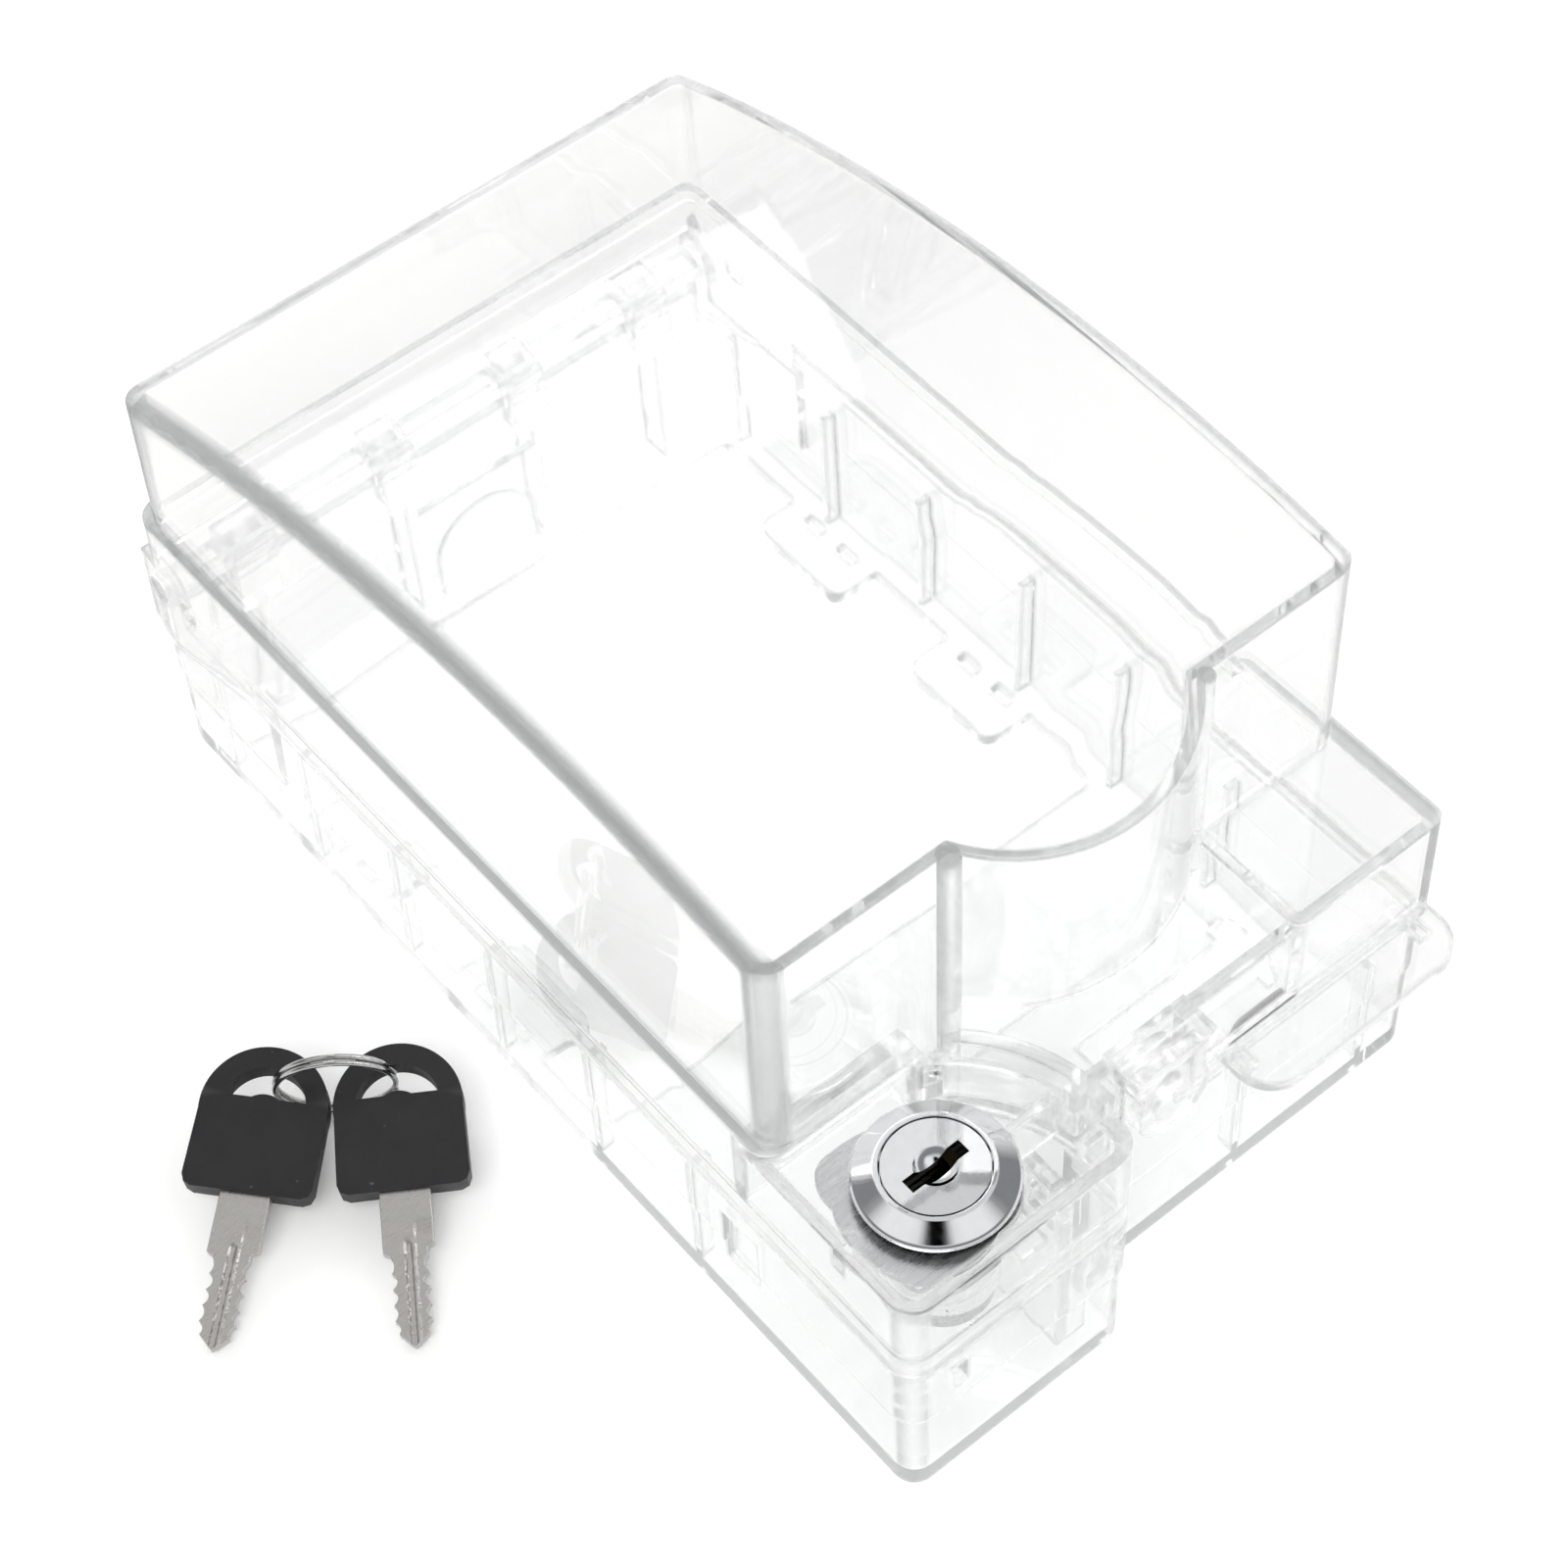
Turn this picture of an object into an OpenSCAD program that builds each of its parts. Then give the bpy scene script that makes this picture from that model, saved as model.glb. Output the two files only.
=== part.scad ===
// Lockable see-through weather cover for a wall socket or switch, with its two keys
// Millimetres. The wall face lies at z = 0, the hinge is at +Y and the lock at -Y.

/* [Cover] */
// Width across the side walls
body_w = 102; // [100:1:108]
// Length from the lock box to the hinge wall
body_l = 170; // [168:1:180]
// Wall thickness of the lid moulding
wall = 2.2; // [1.8:0.1:2.4]
// Corner radius seen from the front
corner_r = 4; // [3:0.5:6]
// Height of the joint between base and lid
split_z = 29.5; // [28:0.5:30]

/* [Dome] */
// Height of the roof at its highest line
roof_top = 92; // [84:1:98]
// Radius of the roof arch
roof_r = 282; // [240:2:360]
// Distance from the front of the lock box back to the dome
dome_setback = 28; // [27:0.5:29]
// How far the dome stands in from the lower walls
dome_in = 1.2; // [1:0.1:1.4]
// Width of the round bulge for the cables
bulge_w = 42; // [38:1:43]
// How far the bulge stands out of the dome
bulge_depth = 10.7; // [8:0.1:11]
// Rounding of the roof edges
roof_edge_r = 2; // [1:0.25:3]

/* [Front] */
// Width of the lock box
box_w = 39.4; // [38:0.1:40]
// Height of the lock box lid
box_top = 47; // [46:0.5:48]
// Setback of the front wall beside the lock box
front_set = 9; // [8:0.5:9.5]
// Width of the raised step on the right
step_w = 27.6; // [26:0.2:28]
// Height of the raised step
step_top = 52; // [50:0.5:53]
// Width of the opening tab
tab_w = 38; // [30:1:38]
// How far the opening tab stands out
tab_out = 9; // [7:0.5:10]
// Bore of the padlock eye
eye_d = 6.4; // [5:0.2:7]

/* [Wall opening] */
// Width of the opening round the socket plate
open_w = 90; // [86:1:90]
// Length of the opening round the socket plate
open_l = 88; // [86:1:90]

/* [Hinge] */
// Diameter of the hinge rod
rod_d = 4.6; // [4:0.2:4.8]
// Radial clearance of turning fits
fit = 0.05; // [0.02:0.01:0.08]

/* [Lock] */
// Diameter of the lock bezel
bezel_d = 22; // [20:0.5:22]
// Diameter of the plug face
plug_d = 14.1; // [13:0.1:14.4]
// Reach of the cam from the lock centre
cam_reach = 11.3; // [10.5:0.1:11.5]
// Number of wafers in the plug
wafer_count = 6; // [3:1:7]

/* [Keys] */
// Length of a key
key_l = 43.6; // [42:0.2:46]
// Width of a key head
head_w = 18.1; // [17:0.1:19]
// Mean radius of the split ring
ring_r = 8.35; // [8.2:0.05:8.6]

/* [Hidden] */
$fn = 64;
eps = 0.01;

half_w = body_w / 2;
front_y = -body_l / 2;
rear_y = body_l / 2;
step_y = front_y + front_set;
dome_y = front_y + dome_setback;
right_x = half_w - step_w;
box_right = -half_w + box_w;
lid_z = split_z + 0.3;

// Base
base_in = 0.5;
base_wall = 2.8;
rim_z = 17.5;
floor_t = 2.2;
lip_top = 33;
lap_end = rear_y - 25;
open_front = -14.4;
open_rear = open_front + open_l;
tab_y = [open_front + 24.8, open_front + 61.6];
rib_y = [for (i = [0:5]) rear_y - 12.7 - 22.3 * i];
knuckle_x = [-36, -12, 12, 36];
inner_wall_x = half_w - 7;
inner_wall_y = rear_y - 8;

// Dome
roof_y = -15;
roof_z = roof_top - roof_r;
bulge_r = (bulge_w * bulge_w / 4 + bulge_depth * bulge_depth) / (2 * bulge_depth);
bulge_x = 0.8;
bulge_y = dome_y - bulge_depth + bulge_r;
bulge_foot = 55;
ledge_z = 50;
deck_top = 36;
deck_t = 2;
bar_top = 51;

// Lock chamber: a round flank on its right, and a shelf that runs on under the dome
flank_r = 27.5;
flank_y = -78;
shelf_x = -24;
shelf_y = dome_y + 7.2;

// Hinge
hinge_y = rear_y - 2.6;
hinge_z = 35;
rod_r = rod_d / 2;
hook_end = rear_y - 0.6;
ear_low = 23.3;
ear_sweep = 12.1;
rear_foot = 41;
cheek_t = 1.6;
dimple_at = [rear_y - 10.8, hinge_z + 1.9];
dimple_r = 2;
dimple_t = 0.5;

// Lock
lock_x = -35;
lock_y = -71.5;
seal_t = 0.5;
bezel_z = box_top + seal_t;
barrel_r = 7.5;
barrel_z = 27;
plug_r = 5.6;
drive = 6.4;
cam_z = 23.2;
cam_t = 2.2;
catch_x = lock_x + 12.6;
first_wafer = barrel_z + 6;
wafer_pitch = 2;

// Padlock eye
eye_x = -2;
eye_z = 41.5;
eye_r = eye_d / 2;

// Keys, in a frame whose centre is the ring's and whose X runs from one key to the other
key_turn = -38.9;
keys_at = [-74.6, 11.2, 8.9];
key_tilt = 12;
key_gap = 9;
key_fan = [-9.6, 5.3];
hole_drop = 6.3;
hole_low = 1.3;
hole_rim = 3.1;
bump_r = 3.4;
bump_top = 0.7;
head_end = -15.1;
shank_w = 7.1;
shank_in = 8.5;
blade_w = 5.1;
blade_cut = 13.4;
first_tooth = 0.9;
tooth_pitch = 1.85;
ring_shift = [0.2, 0.9, 0];
ring_yaw = 2.5;
ring_tilt = -79.4;
ring_wire = 0.44;
ring_pitch = 1.28;
ring_steps = 24;

clear_pc = [0.86, 0.9, 0.92, 0.45];

// Rectangle with four round corners, from two corner points
module rounded(x0, y0, x1, y1, r) {
    translate([x0 + r, y0]) square([x1 - x0 - 2 * r, y1 - y0]);
    translate([x0, y0 + r]) square([x1 - x0, y1 - y0 - 2 * r]);
    for (x = [x0 + r, x1 - r], y = [y0 + r, y1 - r]) translate([x, y]) circle(r);
}

// Plan outline of the lower walls, drawn in by an inset
module plan(inset) {
    r = max(corner_r - inset, 0.8);
    rounded(-half_w + inset, front_y + inset, box_right - inset, dome_y + 20, r);
    rounded(-half_w + inset, step_y + inset, half_w - inset, rear_y - inset, r);
}

// Plan outline of the dome without its bulge
module dome_plan(inset) {
    in = dome_in + inset;
    rounded(-half_w + in, dome_y + inset, half_w - in, rear_y - in, max(corner_r - inset, 0.8));
}

// Plan outline of the round bulge for the cables
module bulge_plan(inset) {
    translate([bulge_x, bulge_y]) circle(bulge_r - inset, $fn = 128);
}

// Plan outline of the lock chamber
module chamber_plan(inset) {
    r = max(corner_r - inset, 0.8);
    intersection() {
        rounded(-half_w + inset, front_y + inset, box_right - inset, dome_y + 20, r);
        union() {
            translate([-half_w, front_y]) square([box_w, flank_y - front_y]);
            translate([box_right - flank_r, flank_y]) circle(flank_r - inset, $fn = 128);
            translate([-half_w, flank_y]) square([shelf_x + half_w - inset, shelf_y - inset - flank_y]);
        }
    }
}

// Wheel whose round-edged rim is the arched roof
module roof_wheel(inset) {
    r = roof_r - inset;
    w = half_w - dome_in - inset;
    e = max(roof_edge_r - inset, 0.4);
    translate([0, roof_y, roof_z]) rotate([0, 90, 0]) rotate_extrude($fn = 256) {
        translate([0, -w]) square([r - e, 2 * w]);
        translate([0, -w + e]) square([r, 2 * w - 2 * e]);
        for (y = [-w + e, w - e]) translate([r - e, y]) circle(e, $fn = 32);
    }
}

// Cylinder along X between two stations
module bar_x(x0, x1, y, z, r) {
    translate([x0, y, z]) rotate([0, 90, 0]) cylinder(r = r, h = x1 - x0);
}

// Plate square to X between two stations, from an outline in Y and Z
module plate_x(x0, x1, outline) {
    translate([x0, 0, 0]) rotate([90, 0, 90]) linear_extrude(x1 - x0) polygon(outline);
}

// Box between two corner points
module block(a, b) {
    translate(a) cube(b - a);
}

// Copies of a form on the right wall, on both side walls
module both_sides() {
    children();
    mirror([1, 0, 0]) children();
}

// Gusset ribs that stand inside the side walls, the front wall and the hinge wall
module base_ribs() {
    side_in = half_w - base_wall + 0.3;
    for (y = rib_y) {
        block([side_in - 2.6, y - 0.6, floor_t - eps], [side_in, y + 0.6, split_z - 3]);
        if (y > open_front - 30) block([-side_in, y - 0.6, floor_t - eps], [-side_in + 2.6, y + 0.6, split_z - 3]);
    }
    for (x = [-7, 17, 41]) block([x - 0.6, step_y + base_wall - 0.3, floor_t - eps],
        [x + 0.6, step_y + base_wall + 3, split_z - 6]);
    for (x = knuckle_x) block([x - 1, inner_wall_y, floor_t - eps], [x + 1, rear_y - base_wall + 0.3, split_z]);
}

// Inner wall behind the hinge wall, with hooks that hold the rod
module hinge_hooks() {
    block([-inner_wall_x, inner_wall_y, split_z - 3], [inner_wall_x, inner_wall_y + 1.5, hinge_z + 4.5]);
    for (x = knuckle_x) difference() {
        union() {
            bar_x(x - 3, x + 3, hinge_y, hinge_z, rod_r + 2);
            block([x - 3, inner_wall_y, split_z - 3], [x + 3, rear_y, hinge_z]);
        }
        bar_x(x - 4, x + 4, hinge_y, hinge_z, rod_r);
        block([x - 4, hook_end, split_z], [x + 4, rear_y + 5, hinge_z + 9]);
    }
}

// Cheeks behind the ears of the lid, which carry the ends of the rod
module hinge_cheeks() {
    x = half_w - wall - 0.3;
    both_sides() difference() {
        union() {
            block([x - cheek_t, lap_end - 3, 12], [x, rear_y - base_wall + 0.3, split_z]);
            bar_x(x - cheek_t, x, hinge_y, hinge_z, rod_r + 2.2);
            block([x - cheek_t, hinge_y - 4.5, split_z - 1], [x, rear_y, hinge_z]);
        }
        bar_x(x - cheek_t - 1, x + 1, hinge_y, hinge_z, rod_r);
        block([x - cheek_t - 1, hook_end, split_z], [x + 1, rear_y + 5, hinge_z + 9]);
    }
}

// Arch outline with a round top
module arch(r, springing) {
    translate([0, springing]) circle(r);
    translate([-r, 0]) square([2 * r, springing]);
}

// Arch-shaped knock-out between the middle ribs of the hinge wall
module knock_out() {
    difference() {
        block([-12, inner_wall_y, floor_t - eps], [12, inner_wall_y + 1.4, 23]);
        translate([0, inner_wall_y + 0.6, 0]) rotate([90, 0, 0]) linear_extrude(2) difference() {
            arch(9.6, 9.4);
            arch(8.8, 9.4);
        }
    }
}

// Break-off fixing tab at the right side of the opening
module fixing_tab(y) {
    x = open_w / 2;
    linear_extrude(floor_t) difference() {
        union() {
            rounded(x - 8, y - 9.9, x + 2, y + 9.9, 3);
            translate([x - 2, y - 9.9]) square([4, 19.8]);
        }
        for (h = [-4, 3.8]) translate([x - 1.8, y + h - 2]) square([3, 4]);
    }
}

// Post on the floor of the base with a ledge that the lock cam turns under
module cam_catch() color(clear_pc) {
    x = catch_x;
    top = cam_z + cam_t + 0.5;
    block([x, lock_y - 8.5, floor_t], [x + 2, lock_y + 5.5, top + 2.2]);
    block([x - 4.4, lock_y - 6, top], [x + 0.5, lock_y + 5.5, top + 2.2]);
    difference() {
        block([x, lock_y - 8.5, top], [x + 2, lock_y - 2.5, 40]);
        for (z = [31, 35.5]) block([x - 1, lock_y - 7.1, z], [x + 3, lock_y - 3.9, z + 2.6]);
    }
    block([x, lock_y - 8.5, floor_t], [x + 5, lock_y - 7.3, top + 2.2]);
}

// Tongue of the base that the padlock goes through, behind the eye of the lid
module padlock_tongue() {
    difference() {
        union() {
            block([eye_x - 5, step_y, split_z - 4], [eye_x + 5, step_y + 2, eye_z]);
            translate([eye_x, step_y + 2, eye_z]) rotate([90, 0, 0]) cylinder(r = 5, h = 2);
        }
        translate([eye_x, step_y + 3, eye_z]) rotate([90, 0, 0]) cylinder(r = eye_r, h = 4);
    }
}

// Room in the side wall of the base for an ear of the lid and its swing
module ear_room() {
    x = half_w - wall - 0.3;
    bar_x(x, half_w + 1, hinge_y, hinge_z, ear_sweep);
    plate_x(x, half_w + 1, [[lap_end, lid_z - 0.1], [rear_y + 1, ear_low - 1.9], [rear_y + 1, 50], [lap_end, 50]]);
}

module base_shell() color(clear_pc) {
    difference() {
        union() {
            linear_extrude(rim_z + eps) plan(base_in);
            translate([0, 0, rim_z]) linear_extrude(split_z - rim_z) plan(0);
            translate([0, 0, split_z - eps]) linear_extrude(lip_top - split_z) intersection() {
                plan(1.6);
                translate([-half_w, front_y]) square([body_w, lap_end - 1 - front_y]);
            }
        }
        translate([0, 0, floor_t]) linear_extrude(lip_top) plan(base_wall);
        translate([0, 0, -1]) linear_extrude(floor_t + 2)
            rounded(-open_w / 2, open_front, open_w / 2, open_rear, 2);
        both_sides() ear_room();
        // Snap windows in the front of the lock box
        for (x = [-42.6, -14.6]) block([x - 1.3, front_y - 1, 21.5], [x + 1.3, front_y + 1.6, 26.5]);
        // Finger recess in the left wall
        block([-half_w - 1, -54, 13], [-half_w + base_in + 0.8, -47, 25]);
    }
    base_ribs();
    hinge_hooks();
    hinge_cheeks();
    knock_out();
    for (y = tab_y) both_sides() fixing_tab(y);
    padlock_tongue();
}

module hinge_rod() color([0.8, 0.84, 0.87, 0.7]) bar_x(-half_w + 0.3, half_w - 0.3, hinge_y, hinge_z, rod_r);

// Outside of the lid without the lock chamber
module lid_outer() {
    translate([0, 0, lid_z]) linear_extrude(deck_top - lid_z) plan(0);
    translate([0, 0, lid_z]) linear_extrude(ledge_z - lid_z)
        rounded(-half_w, dome_y, half_w, rear_y, corner_r);
    translate([0, 0, lid_z]) linear_extrude(step_top - lid_z)
        rounded(right_x, step_y, half_w, dome_y + 20, 2);
    intersection() {
        translate([0, 0, lid_z]) linear_extrude(roof_top) dome_plan(0);
        roof_wheel(0);
    }
    intersection() {
        translate([0, 0, bulge_foot]) linear_extrude(roof_top) bulge_plan(0);
        roof_wheel(0);
    }
    // Bar in front of the cable well
    translate([0, 0, lid_z]) linear_extrude(bar_top - lid_z)
        translate([box_right - 4, step_y]) square([right_x - box_right + 5, wall]);
    both_sides() plate_x(half_w - wall, half_w, [[lap_end + 1, lid_z + 1], [lap_end + 1, lid_z],
        [rear_y - 3.5, ear_low], [rear_y, ear_low + 3.5], [rear_y, rear_foot + 1]]);
}

// Hollow inside of the lid without the lock chamber
module lid_inner() {
    z = lid_z - 1;
    translate([0, 0, z]) linear_extrude(deck_top - deck_t - z) plan(wall);
    translate([0, 0, z]) linear_extrude(ledge_z - 1.6 - z)
        rounded(-half_w + wall, dome_y + wall, half_w - wall, rear_y - wall, 1.8);
    translate([0, 0, z]) linear_extrude(step_top - wall - z)
        rounded(right_x + wall, step_y + wall, half_w - wall, dome_y + 20, 0.8);
    intersection() {
        translate([0, 0, z]) linear_extrude(roof_top) dome_plan(wall);
        roof_wheel(wall);
    }
    intersection() {
        translate([0, 0, bulge_foot - 1]) linear_extrude(roof_top) bulge_plan(wall);
        roof_wheel(wall);
    }
    // Cable way from the well into the dome, under the bulge
    block([bulge_x - bulge_w / 2 + wall, dome_y - 1, deck_top], [right_x, dome_y + wall + 1, bulge_foot]);
    block([-half_w + wall, inner_wall_y - 2, z], [half_w - wall, rear_y + 1, rear_foot]);
}

// Closed chamber for the lock, with the raised rim along its round flank
module lock_chamber() {
    translate([0, 0, lid_z]) linear_extrude(box_top - lid_z) chamber_plan(0);
    translate([0, 0, deck_top]) linear_extrude(bar_top - deck_top) intersection() {
        difference() {
            chamber_plan(0);
            chamber_plan(wall);
        }
        translate([shelf_x + 2, step_y - 3]) square([20, dome_y - step_y + 2.5]);
    }
}

// Flap for the thumb at the front edge
module opening_tab() {
    x1 = half_w - 1.8;
    translate([0, 0, lid_z + 2]) linear_extrude(2) {
        rounded(x1 - tab_w, step_y - tab_out, x1, step_y + 4, 6);
        translate([x1 - tab_w, step_y - 1]) square([tab_w, 2]);
    }
    for (x = [x1 - tab_w + 2, x1 - 4]) block([x, step_y - 3.5, lid_z], [x + 1.6, step_y + 0.5, lid_z + 2.2]);
}

// Eye of the lid: a bridge over the bar with a round lug in front
module padlock_eye() {
    y0 = step_y - 4.4;
    difference() {
        union() {
            translate([eye_x, step_y - 1.6, eye_z]) rotate([90, 0, 0]) cylinder(r = 6.2, h = 2.8);
            block([eye_x - 5.4, y0, eye_z], [eye_x + 5.4, y0 + 2.8, bar_top - 1]);
            block([eye_x - 7, y0, bar_top - 2.6], [eye_x + 7, step_y + wall, bar_top + 1]);
        }
        translate([eye_x, step_y + 1, eye_z]) rotate([90, 0, 0]) cylinder(r = eye_r, h = 8);
    }
}

module lid_shell() color(clear_pc) {
    difference() {
        union() {
            difference() {
                lid_outer();
                lid_inner();
            }
            lock_chamber();
            opening_tab();
        }
        translate([0, 0, lid_z - 1]) linear_extrude(box_top - wall - lid_z + 1) chamber_plan(wall);
        // Half-lap joint over the lip of the base
        translate([0, 0, lid_z - 1]) linear_extrude(lip_top + 0.5 - lid_z + 1) intersection() {
            plan(1.2);
            translate([-half_w, front_y]) square([body_w, lap_end - front_y]);
        }
        // Slot of the well floor, and the notch where it runs on under the step
        block([-3.5, step_y + 6.6, 30], [right_x + 3, step_y + 13, deck_top + 1]);
        bar_x(right_x - 1, right_x + 4, step_y + 9.8, deck_top - 1, 5.3);
        both_sides() bar_x(half_w - wall - 1, half_w + 1, hinge_y, hinge_z, rod_r + fit);
        both_sides() bar_x(half_w - dimple_t, half_w + 1, dimple_at[0], dimple_at[1], dimple_r);
        // Notch over the tongue of the base
        block([eye_x - 5.6, step_y - 1.5, lid_z - 1], [eye_x + 5.6, step_y + wall + 0.5, eye_z + 6]);
        translate([lock_x, lock_y, box_top - wall - 1]) cylinder(r = barrel_r + 0.1, h = wall + 2);
    }
    padlock_eye();
    // Cross rib in the lock chamber, and the pin beside the clamping plate
    block([-22.8, lock_y - 0.6, lip_top + 3], [box_right - 1.5, lock_y + 0.6, box_top - wall + 0.2]);
    translate([-half_w + wall + 0.5, lock_y + 1, 40]) cylinder(r = 1, h = box_top - 41);
}

module lock_housing() color("silver") translate([lock_x, lock_y, 0]) difference() {
    b = bezel_d / 2;
    union() {
        translate([0, 0, bezel_z]) rotate_extrude()
            polygon([[0, 0], [b, 0], [b, 0.7], [b - 0.3, 1], [plug_d / 2 + 0.9, 2.6], [0, 2.6]]);
        translate([0, 0, barrel_z]) cylinder(r = barrel_r, h = bezel_z - barrel_z + eps);
    }
    translate([0, 0, barrel_z - 1]) cylinder(r = plug_r + fit, h = 40);
    translate([0, 0, bezel_z]) cylinder(r = plug_d / 2 + fit, h = 10);
    // Room for the lug of the stop disc
    rotate([0, 0, -12.5]) rotate_extrude(angle = 115) translate([plug_r - 1, barrel_z - 1])
        square([barrel_r, 2.6]);
}

module lock_seal() color("dimgray") translate([lock_x, lock_y, box_top]) difference() {
    cylinder(r = bezel_d / 2 - 0.8, h = seal_t);
    translate([0, 0, -1]) cylinder(r = barrel_r, h = 3);
}

module lock_plate() color("gainsboro") translate([0, 0, box_top - wall - 1.5]) difference() {
    linear_extrude(1.5) {
        translate([lock_x - 12, lock_y - 10.6]) square([23.2, 18]);
        translate([lock_x - 7, lock_y]) square([18.2, 12.6]);
        translate([lock_x - 7, lock_y + 7.6]) circle(5);
    }
    translate([lock_x, lock_y, -1]) cylinder(r = barrel_r + 0.05, h = 4);
}

module lock_washer() color("silver") translate([lock_x, lock_y, box_top - wall - 2.1]) difference() {
    cylinder(r = 9.6, h = 0.6);
    translate([0, 0, -1]) cylinder(r = barrel_r + 0.05, h = 3);
}

module lock_nut() color("silver") translate([lock_x, lock_y, box_top - wall - 5.1]) difference() {
    intersection() {
        cylinder(r = 11, h = 3, $fn = 6);
        cylinder(r = 10.4, h = 3);
    }
    translate([0, 0, -1]) cylinder(r = barrel_r, h = 5);
}

// Turning plug with its face dimple, key slot, wafer slots and spring pockets
module lock_plug() color("lightgray") translate([lock_x, lock_y, 0]) difference() {
    union() {
        translate([0, 0, bezel_z]) cylinder(r = plug_d / 2, h = 2.5);
        translate([0, 0, barrel_z - 0.4]) cylinder(r = plug_r, h = bezel_z - barrel_z + 0.4 + eps);
        translate([-drive / 2, -drive / 2, cam_z + 0.2]) cube([drive, drive, barrel_z - cam_z]);
    }
    translate([0, 0, bezel_z + 2.5 + 2.1]) sphere(r = 3.6);
    translate([-4.65, -1.1, barrel_z + 5]) cube([9.3, 2.2, 30]);
    for (i = [0:wafer_count - 1]) wafer_place(i) {
        translate([-8, -3.9, 0]) cube([16, 7.8, 1]);
        translate([-2.2, 3.8, 0]) cube([4.4, 1.2, 1]);
    }
    translate([0, 0, cam_z - 1]) cylinder(r = 1.6, h = 8);
}

// Place of one wafer: every second one faces the other way
module wafer_place(i) {
    translate([0, 0, first_wafer + i * wafer_pitch]) rotate([0, 0, 180 * (i % 2)]) children();
}

module plug_wafers() color("goldenrod") translate([lock_x, lock_y, 0.05])
    for (i = [0:wafer_count - 1]) wafer_place(i) {
        difference() {
            intersection() {
                cylinder(r = plug_r - 0.1, h = 0.9);
                translate([-8, -3.85, 0]) cube([16, 7.7, 0.9]);
            }
            translate([-3.8, -1.3, -1]) cube([7.4, 2.6, 3]);
        }
        translate([1, 3.8, 0]) cube([0.9, 1.1, 0.9]);
    }

module wafer_springs() color("silver") translate([lock_x, lock_y, 0.5])
    for (i = [0:wafer_count - 1]) wafer_place(i) bar_x(-2.2, 1, 4.42, 0, 0.42);

// Disc whose lug limits the turn of the plug
module stop_disc() color("silver") translate([lock_x, lock_y, cam_z + cam_t]) difference() {
    union() {
        cylinder(r = 7.2, h = 1.1);
        rotate([0, 0, 90]) translate([plug_r + 0.2, -1.2, 0]) cube([1.5, 2.4, 2.6]);
    }
    translate([-drive / 2 - fit, -drive / 2 - fit, -1]) cube([drive + 2 * fit, drive + 2 * fit, 5]);
}

module lock_cam() color("silver") translate([lock_x, lock_y, cam_z]) difference() {
    linear_extrude(cam_t) {
        circle(6.8);
        translate([-5, 0]) square([10, cam_reach - 3]);
        rounded(-5, 2, 5, cam_reach, 2.5);
    }
    translate([-drive / 2 - fit, -drive / 2 - fit, -1]) cube([drive + 2 * fit, drive + 2 * fit, 5]);
}

module cam_washer() color("silver") translate([lock_x, lock_y, cam_z - 0.7]) difference() {
    cylinder(r = 4.6, h = 0.7);
    translate([0, 0, -1]) cylinder(r = 1.65, h = 3);
}

module cam_screw() color("dimgray") translate([lock_x, lock_y, cam_z - 0.7]) {
    difference() {
        translate([0, 0, -2]) cylinder(r = 3.4, h = 2);
        for (a = [0, 90]) rotate([0, 0, a]) translate([-2, -0.5, -3]) cube([4, 1, 2]);
    }
    cylinder(r = 1.55, h = 6.5);
}

// Half width of the blade in the bottom of a tooth
function bite(i) = blade_w / 2 - 0.35 - 0.35 * abs(sin(i * 67));

// One toothed edge of the blade as X and Y points from the shoulder to the tip
function edge(side, seed, shoulder) = [for (i = [0:5], k = [0, 1, 2])
    [side * (k == 1 ? bite(i + seed) : blade_w / 2), shoulder - first_tooth - tooth_pitch * (i + k / 3)]];

function reversed(v) = [for (i = [len(v) - 1:-1:0]) v[i]];

// Flat double-bitted blade, drawn along -Y from its shank inside the head
module blade_outline() {
    tip = -key_l + hole_drop;
    shoulder = tip + blade_cut;
    s = shank_w / 2;
    polygon(concat(
        [[-s, head_end + shank_in], [-s, shoulder], [-s + 0.8, shoulder - 0.4]],
        edge(-1, 0, shoulder),
        [[-blade_w / 2 + 0.7, tip + 2], [0, tip], [blade_w / 2 - 0.7, tip + 2]],
        reversed(edge(1, 3, shoulder)),
        [[s - 0.8, shoulder + 0.6], [s, shoulder + 1], [s, head_end + shank_in]]));
}

// Blade with a groove milled along the middle of each face and one beside it
module key_blade() {
    tip = -key_l + hole_drop;
    difference() {
        translate([0, 0, -1]) linear_extrude(2) blade_outline();
        for (z = [0.6, -1.6]) {
            translate([-0.6, tip + 2, z]) cube([1.2, blade_cut, 1]);
            translate([z > 0 ? 1.3 : -2.8, tip + 1, z]) cube([1.5, blade_cut + 2.4, 1]);
        }
    }
}

// Outline of a key head with its crescent hole
module head_outline() {
    r = head_w / 2;
    w = r + 0.15;
    cy = hole_drop - r;
    difference() {
        union() {
            translate([0, cy]) circle(r);
            polygon([[-r + 0.1, cy + 1], [-w, head_end + 1.6], [-w + 0.45, head_end + 0.5], [-w + 1.5, head_end],
                [w - 1.5, head_end], [w - 0.45, head_end + 0.5], [w, head_end + 1.6], [r - 0.1, cy + 1]]);
        }
        difference() {
            intersection() {
                translate([0, cy]) circle(r - hole_rim);
                translate([-r, -hole_low]) square([2 * r, 10]);
            }
            translate([0, -bump_top - bump_r]) circle(bump_r);
        }
    }
}

// Moulded head with a slot for the shank
module key_head() {
    difference() {
        translate([0, 0, -1.7]) linear_extrude(3.4) head_outline();
        translate([-shank_w / 2, head_end - 10, -1]) cube([shank_w, 10 + shank_in, 2]);
    }
}

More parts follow.
